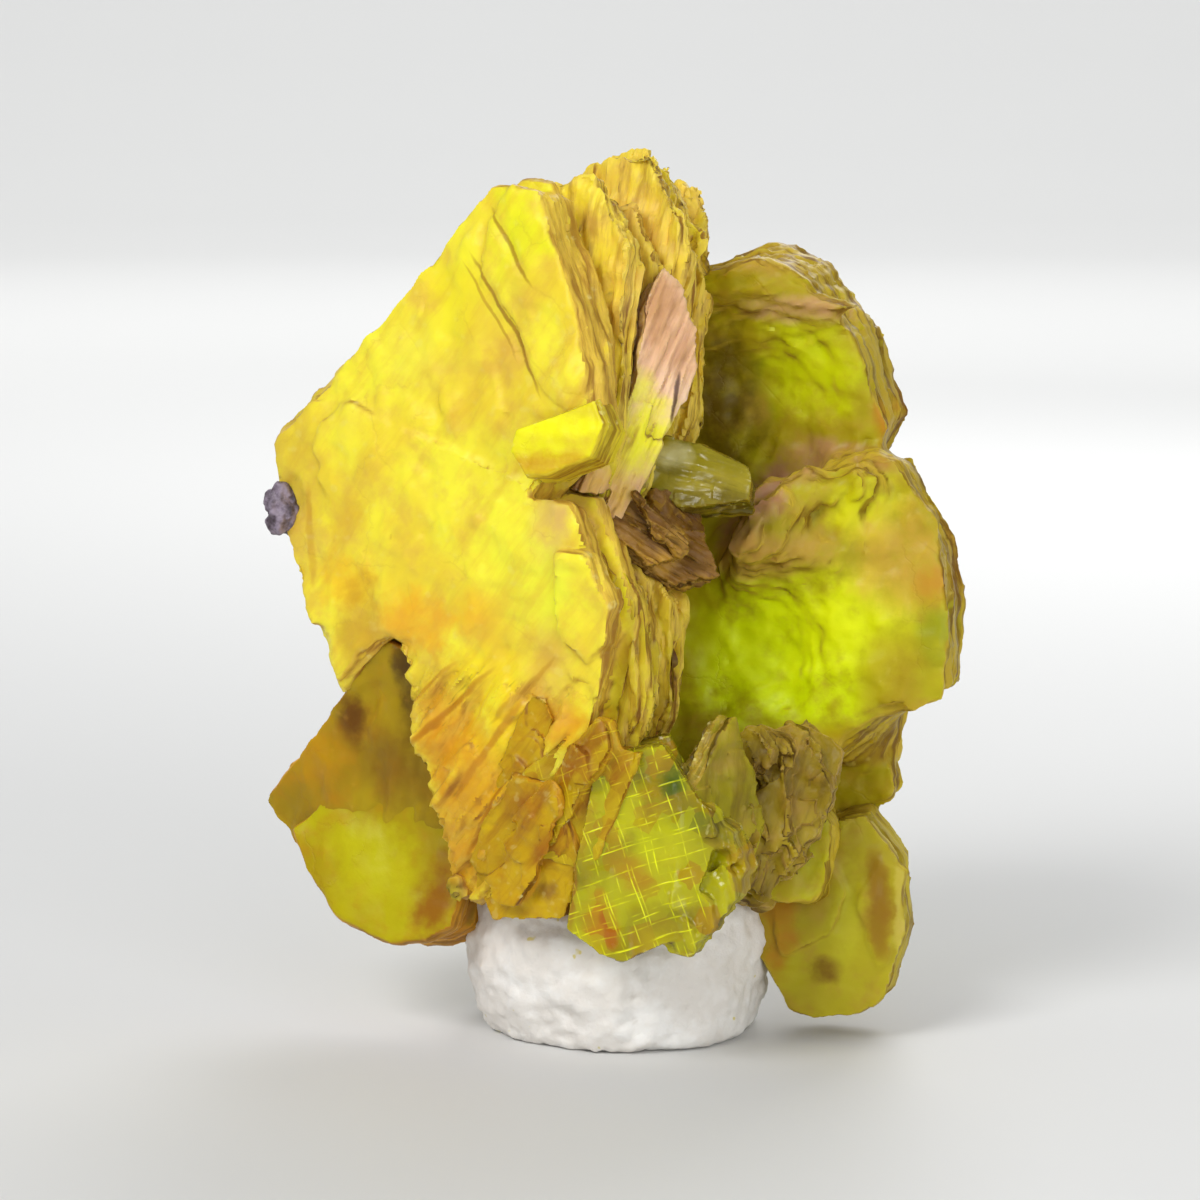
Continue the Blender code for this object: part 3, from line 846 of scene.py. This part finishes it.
RIGHT_PATCHES = (
    # The bowl's lime patches here are partly the crystal's own lime and partly a painted glow; ECFC08 is
    # painted light over the bowl's shaded hollow.
    (-0.4, -2.0, 1.9, 1.5, "D8EA01", 1.0), (0.8, -1.35, 1.2, 0.9, "E0E80B", 0.9),
    (-0.7, -1.9, 1.0, 1.0, "ECFC08", 0.7), (-0.9, -0.4, 0.8, 0.35, "CCA44C", 0.9),
    # 9A8A04 is painted shade at the bowl's left side, and 584204 on the next line is painted shadow in the
    # hood beside the fan.
    (-2.0, -1.2, 0.5, 1.4, "9A8A04", 0.5), (-0.1, 2.8, 1.0, 0.9, "C6CE02", 0.95),
    (-1.7, 2.1, 0.8, 1.5, "584204", 0.85), (-0.1, 3.8, 1.0, 0.25, "C09468", 0.85),
    (-1.0, 4.6, 1.3, 0.3, "B08C34", 0.8), (1.3, 2.1, 0.25, 0.8, "B06410", 0.7),
    (1.1, 0.5, 0.6, 0.6, "D8D610", 0.9), (-1.1, 0.1, 0.5, 0.55, "B0805C", 0.9),
    (-0.6, 0.75, 0.5, 0.5, "B48460", 0.95), (0.0, 1.3, 0.6, 0.4, "B08456", 0.9),
    (0.9, 1.35, 0.7, 0.25, "B08440", 0.7), (-0.2, -0.2, 1.0, 0.35, "BC9440", 0.8),
    (1.7, -0.3, 0.9, 0.9, "C8A03A", 0.75), (2.3, -0.7, 0.35, 0.4, "C07C1C", 0.5),
    (2.3, -1.5, 0.35, 0.5, "8A9008", 0.7), (1.6, -2.2, 0.6, 0.8, "A88C18", 0.7),
    (2.0, -2.9, 0.6, 0.35, "B4942C", 0.8), (0.6, -3.5, 1.6, 0.4, "AA8704", 0.8),
)

# Thin lines on the cover: start, end, width, colour, and strength.
COVER_STREAKS = (
    # The first three are dark lines along the two cracks that the cover's grooves cut: painted shade in the
    # grooves.
    ((0.75, 3.5), (1.8, 2.2), 0.045, "9A7016", 0.75), ((0.45, 2.75), (2.1, 0.45), 0.05, "96681A", 0.8),
    ((0.3, 2.6), (1.5, 1.0), 0.035, "A87C20", 0.6),
    ((1.3, -3.9), (-0.6, -5.6), 0.07, "A86408", 0.7), ((1.9, -4.3), (0.4, -6.3), 0.08, "B06A0C", 0.7),
    ((0.5, -3.9), (-0.9, -5.0), 0.05, "B87810", 0.6), ((1.9, -5.2), (0.6, -7.2), 0.06, "9E5C0A", 0.7),
    ((2.5, -3.6), (1.2, -4.9), 0.05, "B88414", 0.6), ((-2.9, -1.2), (-2.6, -3.0), 0.1, "C48E28", 0.5),
)


def cover():
    t = TABLETS
    high = book(
        t["cover_high"], COVER_HOME, rim=0.008,
        extra=(
            (
                ((84, 3.75), (132, 2.0), (200, 1.2), (262, 0.2), (320, 0.9), (12, 1.2), (26, 2.4)),
                0.04, -0.1,
            ),
            (((75, -0.4), (150, 2.0), (215, 2.6), (305, 1.8), (10, 1.6)), 0.06, -0.1),
        ),
    )
    low = book(
        t["cover_low"], COVER_HOME, rim=0.012,
        extra=(
            (((60, 0.1), (190, 1.3), (277, 3.7), (330, 1.5), (20, 0.9)), 0.07, -0.1),
            (((40, -0.9), (200, 1.6), (277, 3.5), (330, 1.2), (10, 0.3)), 0.16, -0.1),
        ),
    )
    loose = [book(t[name], COVER_HOME) for name in ("cover_leaf", "cover_scale")]
    piece = joined("cover", [high, low, *loose])
    piece = skin(piece, COVER_MESH, 3)
    blend(piece, (-2.6, -5.2, -0.35), (1.5, -0.8, 1.5), 120)
    push(piece, (1.2, -3.6, 0.2), (1.6, 1.4, 1.5), 0.12)
    push(piece, (-1.6, -0.8, 0.2), (1.8, 1.6, 1.5), 0.1)
    push(piece, (1.6, -0.9, 0.2), (1.2, 0.8, 1.2), -0.14)
    swell(piece, 2.0, 0.3, mid=0.42)
    swell(piece, 0.8, 0.12, scale=(1, 1, 0.8), shift=7.0)
    terraces(piece, 0.9, 0.06)
    terraces(piece, 0.38, 0.04, shift=3.0, turn=(0, 0, 20))
    swell(piece, 0.8, 0.14, scale=(1, 1, 0.16), shift=2.0)
    flutes(piece, 50, 0.18, 0.34, box=((-2.0, -9.0, -4.0), (3.2, -3.6, 3.0)))
    flutes(piece, 35, 0.3, 0.1, shift=3.0, box=((-5.0, -4.0, -3.0), (1.5, 1.5, 3.0)))
    groove(piece, (0.75, 3.55, 0), (1.8, 2.2, 0), 0.14, 0.09)
    groove(piece, (0.45, 2.8, 0), (2.15, 0.4, 0), 0.14, 0.09)
    finish = crystal(
        "cover_lemon", COVER_HOME, "E8CE34", "F0E638", "D8AC48", "E2BC48", "9A6428",
        spots=COVER_PATCHES, streaks=COVER_STREAKS, ridge_highlight=0.35, tan_share=0.5,
        combed=(52, 0.5, "D09C34", 0.35),
    )
    crystal_piece(piece, COVER_HOME, finish)


def furrow_leaves(piece, mid, angle, height, shifts):
    """Draws out the many thin leaves of a fan that is seen at its edges."""
    swell(piece, 1.3, 0.4, scale=(1, 1.4, 0.13), mid=mid, shift=shifts[0])
    swell(piece, 0.6, 0.24, scale=(1, 2.2, 0.16), shift=shifts[1])
    flutes(piece, angle, 0.13, height, shift=shifts[2])
    swell(piece, 0.35, 0.1, scale=(1, 1, 0.4), shift=shifts[3])
    apply_modifier(piece, "SMOOTH", factor=0.5, iterations=1)


def upper_fan():
    t = TABLETS
    parts = [
        book(t[name], FAN_HOME, fine=1, deepest=0.12, wobble=0.06, swing=5.0)
        for name in ("fan_front", "fan_middle", "fan_back")
    ]
    piece = joined("upper_fan", parts)
    piece = skin(piece, UPPER_FAN_MESH, 1)
    furrow_leaves(piece, 0.62, 88, 0.2, (0.0, 5.0, 0.0, 9.0))
    # The fan's creases get a strong painted shade in 42240A, and its ridges a painted highlight.
    finish = crystal(
        "fan_edges", FAN_HOME, "EECA4C", "F4DE3C", "D8A860", "F0D054", "7A4A1A", "42240A", "F0D868",
        spots=((3.0, 3.2, 0.7, 1.0, "D8C430", 0.6), (2.6, -1.5, 0.8, 1.0, "F0EC40", 0.7)),
        strata=0.1, ridge_highlight=0.4, crease_shade=0.95, combed=(88, 0.2, "9A6828", 0.5),
    )
    crystal_piece(piece, FAN_HOME, finish)


def lower_fan():
    leaves = book(TABLETS["spine_low"], SPINE_HOME, fine=1, deepest=0.16, wobble=0.07, swing=6.0)
    piece = joined("lower_fan", [leaves])
    piece = skin(piece, LOWER_FAN_MESH, 1)
    furrow_leaves(piece, 0.5, 84, 0.16, (4.0, 1.0, 2.0, 7.0))
    # The fan's creases get a strong painted shade in 42240A, and its ridges a painted highlight.
    finish = crystal(
        "spine_edges", SPINE_HOME, "D0B034", "DECC30", "C4903C", "E0C048", "7A4A1A", "42240A", "ECDC90",
        strata=0.1, ridge_highlight=0.4, crease_shade=0.95, combed=(88, 0.2, "9A6828", 0.5),
    )
    crystal_piece(piece, SPINE_HOME, finish)


def right_plate():
    t = TABLETS
    hood = book(
        t["hood"], RIGHT_HOME, deepest=0.08,
        extra=(
            (((107, 2.0), (69, 1.62), (39, 1.3), (262, -0.95), (182, 2.5)), 0.16, -0.1),
            (((107, 1.9), (69, 1.5), (300, -0.4), (262, -1.25), (182, 1.9)), 0.26, -0.1),
        ),
    )
    names = ("bowl", "right_rim", "mound", "under_shelf")
    parts = [hood] + [book(t[name], RIGHT_HOME, deepest=0.09) for name in names]
    inner = ("middle_low", "middle_foot", "middle_high")
    parts += [book(t[name], RIGHT_HOME, fine=5, deepest=0.04) for name in inner]
    parts += [book(tablet, RIGHT_HOME) for tablet in RIDGE_LEAVES]
    piece = joined("right_plate", parts)
    piece = skin(piece, RIGHT_MESH, 5)
    blend(piece, (-1.7, -3.9, -1.5), (1.9, 0.4, 1.5), 160)
    blend(piece, (-2.4, 0.9, -2.0), (0.8, 2.6, 1.5), 40)
    push(piece, (-0.5, -1.8, 0.0), (1.9, 1.7, 1.2), -0.3)
    push(piece, (-0.7, 2.4, -0.4), (1.4, 1.4, 1.2), -0.3)
    piece = skin(piece, RIGHT_MESH, 2)
    swell(piece, 1.6, 0.3, mid=0.58)
    terraces(piece, 0.8, 0.06, shift=2.0)
    terraces(piece, 0.4, 0.04, shift=5.0, turn=(0, 0, 15))
    swell(piece, 0.8, 0.16, scale=(1, 1, 0.16), shift=3.0)
    flutes(piece, 20, 0.16, 0.14, box=((-2.5, 2.9, -3.0), (2.5, 6.0, 3.0)))
    flutes(piece, 60, 0.14, 0.12, box=((-2.0, -1.0, -2.0), (1.6, 1.9, 3.0)))
    swell(piece, 0.3, 0.07, shift=4.0)
    finish = crystal(
        "right_lime", RIGHT_HOME, "A69412", "B4AC14", "B48C34", "C8AC34", "74500E", "4A2E06", "D8C458",
        spots=RIGHT_PATCHES, glow=0.35,
    )
    crystal_piece(piece, RIGHT_HOME, finish)


def grown(name, tablets, size, soften=2, fine=2, broad=0.12, step=0.06, extra=(), furrows=None, **look):
    """A crystal by itself: the leaves of its tablets, skinned, with steps and fine wear."""
    home = facing(tablets[0])
    first = book(tablets[0], home, fine=fine, extra=extra)
    parts = [first, *[book(tablet, home) for tablet in tablets[1:]]]
    piece = joined(name, parts)
    piece = skin(piece, size, soften)
    swell(piece, 1.1, broad, shift=len(name))
    terraces(piece, 0.5, step, shift=len(name) * 0.7)
    swell(piece, 0.7, step * 1.8, scale=(1, 1, 0.16), shift=len(name) * 0.3)
    swell(piece, 0.28, step * 0.5, shift=len(name) * 0.9)
    if furrows:
        flutes(piece, *furrows)
    crystal_piece(piece, home, crystal(name + "_finish", home, **look))


def middle_crystals():
    grown(
        "cross_flake", (TABLETS["cross_flake"],), 0.03,
        low="DCCC18", high="EAE818", tan="CCA030", edge_light="E0C830", edge_dark="8A5C14",
        spots=((0.1, -0.35, 0.9, 0.25, "C89818", 0.9), (0.1, 0.3, 0.9, 0.2, "F2EE10", 0.9)),
        broad=0.05, step=0.03,
    )
    grown(
        "green_prism", (TABLETS["green_prism"],), 0.03,
        low="857A10", high="A8982C", tan="A08C40", edge_light="8A7218", edge_dark="3A2604", rough=0.22,
        coat=0.2, pale="C8BC6A", tan_share=0.6, combed=(-14, 0.3, "5C500C", 0.5), glow=0.2,
        # The pale spot is a painted highlight on the glossy prism, and the dark strip along its foot is
        # painted shade on its underside.
        spots=((-0.45, 0.25, 0.3, 0.22, "D6CE90", 0.7), (0.3, -0.45, 0.9, 0.16, "4A3C0C", 0.7)),
        broad=0.08, step=0.07, furrows=(-14, 0.16, 0.08),
    )
    grown(
        "side_flake", SIDE_LEAVES, 0.029,
        low="E4B488", high="F0C8A4", tan="CC9868", edge_light="E4C070", edge_dark="5A3020", pale="F4DCB8",
        spots=(
            (-0.6, -1.2, 0.9, 0.8, "F4EC30", 1.0), (-1.2, -2.0, 0.5, 0.6, "DCB044", 0.8),
            (-0.1, 1.0, 0.35, 0.6, "BC8A58", 0.7), (-0.5, -0.4, 0.3, 0.4, "F0E84C", 0.7),
        ),
        combed=(66, 0.25, "94603C", 0.5), streaks=(((0.22, -0.1), (0.02, -1.0), 0.05, "3A1418", 0.85),),
        soften=7, fine=3, broad=0.1, step=0.05, furrows=(62, 0.12, 0.14),
    )
    grown(
        "inner_flakes", SPLINTERS, 0.03,
        low="6E4A16", high="946C2C", tan="B08850", edge_light="B08830", edge_dark="2C1604", pale="D0A860",
        spots=((0.5, 0.0, 0.25, 0.5, "D8A840", 0.6),), combed=(0, 0.22, "4A2408", 0.8),
        broad=0.08, step=0.06, furrows=(0, 0.1, 0.16),
    )


def lower_crystals():
    grown(
        "window", (TABLETS["window"],) + WINDOW_LEAVES + WINDOW_RIM_LEAVES, 0.04,
        low="847A06", high="B4B006", tan="A87A08", edge_light="A89A30", edge_dark="4A3C08",
        spots=(
            (0.31, 1.0, 0.25, 0.4, "3E5600", 0.9), (-0.85, -1.3, 0.3, 0.5, "B87408", 0.85),
            (0.2, 0.1, 0.5, 0.5, "C4C602", 0.8), (-0.5, 0.6, 0.4, 0.5, "C8C404", 0.8),
            (0.6, 0.5, 0.4, 0.3, "70780A", 0.7), (-0.3, -0.5, 0.3, 0.3, "B07C08", 0.6),
            (0.3, -1.2, 0.7, 0.3, "7A6A08", 0.7), (-1.1, 0.2, 0.2, 0.8, "A8860C", 0.6),
        ),
        grid=(18.0, "F2F60A", 1.0, 0.95), tiles=0.6, glow=0.4, rough=0.24, coat=0.3,
        streaks=(
            ((-1.2, 0.9), (-1.3, -1.5), 0.09, "8E5A08", 0.8),
            ((-0.75, -1.0), (-0.6, -1.75), 0.14, "A85E04", 0.9),
        ),
        broad=0.06, step=0.03,
    )
    grown(
        "step_high", (TABLETS["step_high"],) + STEP_HIGH_LEAVES, 0.04,
        low="AC8C0C", high="C0A412", tan="A4640C", edge_light="CC9C24", edge_dark="6E3808",
        grid=(20.0, "E8D020", 0.7, 1.5), tiles=0.4, combed=(48, 0.4, "8E4E0C", 0.7),
        fine=3, broad=0.1, step=0.07,
    )
    grown(
        "step_low", (TABLETS["step_low"],) + STEP_LOW_LEAVES, 0.04,
        low="B8900A", high="CCA810", tan="A45C0C", edge_light="CC9420", edge_dark="623008",
        spots=((0.3, -0.7, 0.25, 0.2, "6A3830", 0.7),), combed=(48, 0.4, "92500C", 0.7),
        fine=3, broad=0.1, step=0.08,
    )
    grown(
        "spear", (TABLETS["spear"],), 0.04,
        low="8E8410", high="A89A18", tan="A88440", edge_light="B89C3C", edge_dark="4A3408",
        combed=(80, 0.35, "6A5010", 0.6),
        broad=0.14, step=0.1,
    )
    grown(
        "tufts", (TABLETS["tuft_high"], TABLETS["tuft_low"]) + TUFT_LEAVES + TUFT_TIPS, 0.042,
        low="86700C", high="A08A20", tan="A87C38", edge_light="B8984C", edge_dark="4A3008", pale="C8B070",
        combed=(70, 0.35, "5A4008", 0.6),
        broad=0.2, step=0.12,
    )
    grown(
        "left_wing", (TABLETS["left_wing"],), 0.055,
        low="94760A", high="AA900A", tan="B07C0C", edge_light="DCA02C", edge_dark="A0681C", pale="E0A840",
        spots=(
            # The spot at 1.0, 2.2 is painted shade along the wing's fold, and the one at 1.6, 0.2 is painted
            # shadow over the wing's right half; the spot at -0.17, 1.09 is a real brown spot.
            (-0.17, 1.09, 0.35, 0.5, "5A2C00", 0.85), (1.0, 2.2, 0.3, 1.2, "4A2E02", 0.9),
            (-0.9, 0.3, 0.7, 0.9, "B88004", 0.6), (0.5, 0.4, 0.5, 0.9, "7E5606", 0.6),
            (1.6, 0.2, 0.6, 1.6, "86680A", 0.6),
        ),
        soften=4, broad=0.3, step=0.04, furrows=(72, 0.4, 0.16),
    )
    grown(
        "left_lobe", (TABLETS["left_lobe"],), 0.055,
        low="A48C02", high="B4A802", tan="B0780C", edge_light="C88C20", edge_dark="8A5810", pale="D09834",
        spots=((1.1, -0.6, 0.5, 0.7, "8E4E0A", 0.85), (-0.2, 0.0, 0.9, 0.7, "C0BC02", 0.7)),
        soften=8, broad=0.16, step=0.03,
    )
    grown(
        "right_foot", (TABLETS["right_foot"],), 0.05,
        low="A08E18", high="B0A41C", tan="A88030", edge_light="C8B43C", edge_dark="7A5814", pale="D0BC48",
        spots=(
            (0.0, -0.85, 0.32, 0.22, "6A3C0C", 0.8),
            (-0.85, 0.2, 0.35, 1.2, "B07414", 0.8), (0.3, 0.1, 0.3, 1.0, "C0BC24", 0.7),
            (-0.3, 0.6, 0.35, 0.6, "A88434", 0.7),
        ),
        streaks=(
            ((0.75, 1.3), (0.95, -0.7), 0.22, "84500F", 0.65),
            ((1.15, 1.2), (1.25, -1.0), 0.12, "CCBC54", 0.5),
        ),
        soften=4, broad=0.14, step=0.05,
        extra=(
            (((111, 1.1), (187, 0.9), (240, 0.9), (300, 0.2), (340, 0.1), (30, 0.5)), 0.1, -0.1),
            (((60, 1.4), (150, -0.2), (200, -0.55), (290, 1.0), (350, 1.1)), 0.07, -0.1),
        ),
    )


def back_books():
    for name, low_code, high_code in (
        ("back_high", "D8C430", "E8DC38"), ("back_low", "C8B020", "D8CC28"),
        ("back_right", "B0A818", "C4C820"), ("back_foot", "B89818", "CCB81C"),
    ):
        grown(
            name, (TABLETS[name],), 0.075,
            low=low_code, high=high_code, tan="C89C44", edge_light="D8BC48", edge_dark="805818",
            soften=3, broad=0.25, step=0.12,
            extra=(
                (((86, 1.9), (160, 1.4), (230, 1.2), (300, 1.0), (20, 1.6)), 0.1, -0.1),
                (((60, 0.3), (170, 1.7), (262, 1.9), (340, 0.8)), 0.16, -0.1),
            ),
        )


def matrix_grain():
    nothing_selected()
    bpy.ops.mesh.primitive_ico_sphere_add(
        subdivisions=5, radius=GRAIN_RADIUS, location=(0, 0, 0), scale=(0.9, 1.0, 1.2)
    )
    piece = bpy.context.object
    piece.name = "matrix_grain"
    swell(piece, 0.35, 0.3)
    relief(piece, "VORONOI", 0.05, noise_scale=0.16, distance_metric="DISTANCE")
    swell(piece, 0.1, 0.06)
    home = Matrix.Translation(Vector(GRAIN_CENTRE))
    crystal_piece(piece, home, grain_finish())


def putty():
    """A squat lump, worked by hand: a disc drawn up in rings, then kneaded."""
    nothing_selected()
    first = PUTTY_PROFILE[0][1] * PUTTY_RADIUS
    bpy.ops.mesh.primitive_circle_add(vertices=48, radius=first, fill_type="NGON", location=(0, 0, 0))
    piece = bpy.context.object
    piece.name = "putty"
    bpy.ops.object.mode_set(mode="EDIT")
    select_mesh()
    for (height, share), (below, before) in zip(PUTTY_PROFILE[1:], PUTTY_PROFILE):
        bpy.ops.mesh.extrude_region_move(TRANSFORM_OT_translate={"value": (0, 0, height - below)})
        bpy.ops.transform.resize(value=(share / before, share / before, 1), center_override=(0, 0, 0))
    select_mesh()
    bpy.ops.mesh.normals_make_consistent(inside=False)
    bpy.ops.transform.resize(value=(1, PUTTY_DEPTH_RATIO, 1), center_override=(0, 0, 0))
    close()
    piece = skin(piece, PUTTY_MESH, 2)
    swell(piece, 1.5, 0.3)
    push(piece, (0.25, -2.6, 1.6), (0.25, 0.6, 1.6), -0.16)
    push(piece, (-1.2, -2.3, 2.2), (1.0, 0.8, 0.5), -0.14)
    swell(piece, 0.5, 0.16, scale=(1, 1, 0.7), shift=2.0)
    relief(piece, "STUCCI", 0.05, noise_scale=0.22)
    swell(piece, 0.14, 0.04)
    edit(piece)
    select_mesh()
    bpy.ops.mesh.bisect(
        plane_co=(0, 0, PUTTY_FOOT_TRIM), plane_no=(0, 0, -1), use_fill=True, clear_outer=True
    )
    select_mesh()
    bpy.ops.transform.translate(value=(0, 0, -PUTTY_FOOT_TRIM))
    close()
    place(piece, Matrix.Identity(4))
    piece.data.materials.append(putty_finish())
    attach(piece, "root")
    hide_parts("putty_base")


def floor():
    """A pale floor that turns up into a low wall all round."""
    nothing_selected()
    bpy.ops.mesh.primitive_circle_add(
        vertices=96, radius=FLOOR_RADIUS, fill_type="NGON", location=(0, 0, -FLOOR_DROP)
    )
    plate = bpy.context.object
    plate.name = "floor"
    bpy.ops.object.mode_set(mode="EDIT")
    bpy.ops.mesh.select_all(action="DESELECT")
    bpy.ops.mesh.select_mode(type="EDGE")
    bpy.ops.mesh.select_non_manifold()
    radius = FLOOR_RADIUS
    height = 0.0
    for step in range(1, FLOOR_STEPS + 1):
        angle = math.radians(90 * step / FLOOR_STEPS)
        wider = FLOOR_RADIUS + FLOOR_CURVE * math.sin(angle)
        higher = FLOOR_CURVE * (1 - math.cos(angle))
        bpy.ops.mesh.extrude_edges_move(TRANSFORM_OT_translate={"value": (0, 0, higher - height)})
        share = wider / radius
        bpy.ops.transform.resize(value=(share, share, 1), center_override=(0, 0, 0))
        radius = wider
        height = higher
    bpy.ops.mesh.select_mode(type="VERT")
    close()
    bpy.ops.object.transform_apply(location=True, rotation=True, scale=True)
    bpy.ops.object.shade_smooth_by_angle(angle=math.radians(SHARP_EDGE))
    f = Finish("floor_pale")
    f.set("Base Color", (0.72, 0.72, 0.71, 1))
    f.set("Roughness", 0.6)
    plate.data.materials.append(f.material)


def lamp(name, at, size, power, aim_at=CAMERA_TARGET):
    """A square soft light. Its place, side and aim are in millimetres, and its power is in watts."""
    bpy.ops.object.light_add(type="AREA", location=[c * MM for c in at])
    light = bpy.context.object
    light.name = name
    light.data.size = size * MM
    light.data.energy = power
    aim = Vector(aim_at) - Vector(at)
    light.rotation_euler = aim.to_track_quat("-Z", "Y").to_euler()


def lights():
    lamp("key", (-60, -75, 85), 50, 0.09)
    lamp("fill", (45, -95, 30), 70, 0.045)
    lamp("back", (30, 80, 70), 60, 0.04)
    lamp("wall", (0, 120, 260), 200, 1.1, aim_at=(0, 420, 120))
    world = bpy.data.worlds.new("studio")
    bpy.context.scene.world = world
    world.use_nodes = True
    world.node_tree.nodes["Background"].inputs["Color"].default_value = (0.9, 0.92, 0.95, 1)
    world.node_tree.nodes["Background"].inputs["Strength"].default_value = 0.4


def camera():
    lift = math.radians(CAMERA_ELEVATION)
    ahead = Vector((0, math.cos(lift), -math.sin(lift)))
    bpy.ops.object.camera_add(location=(CAMERA_TARGET - ahead * CAMERA_DISTANCE) * MM)
    eye = bpy.context.object
    eye.rotation_euler = ahead.to_track_quat("-Z", "Y").to_euler()
    eye.data.lens = CAMERA_LENS
    eye.data.sensor_width = 36
    eye.data.clip_start = 0.001
    eye.data.clip_end = 10
    bpy.context.scene.camera = eye


camera()
cover()
upper_fan()
lower_fan()
right_plate()
middle_crystals()
lower_crystals()
back_books()
matrix_grain()
putty()
floor()
lights()
bpy.context.scene.view_settings.view_transform = "Standard"
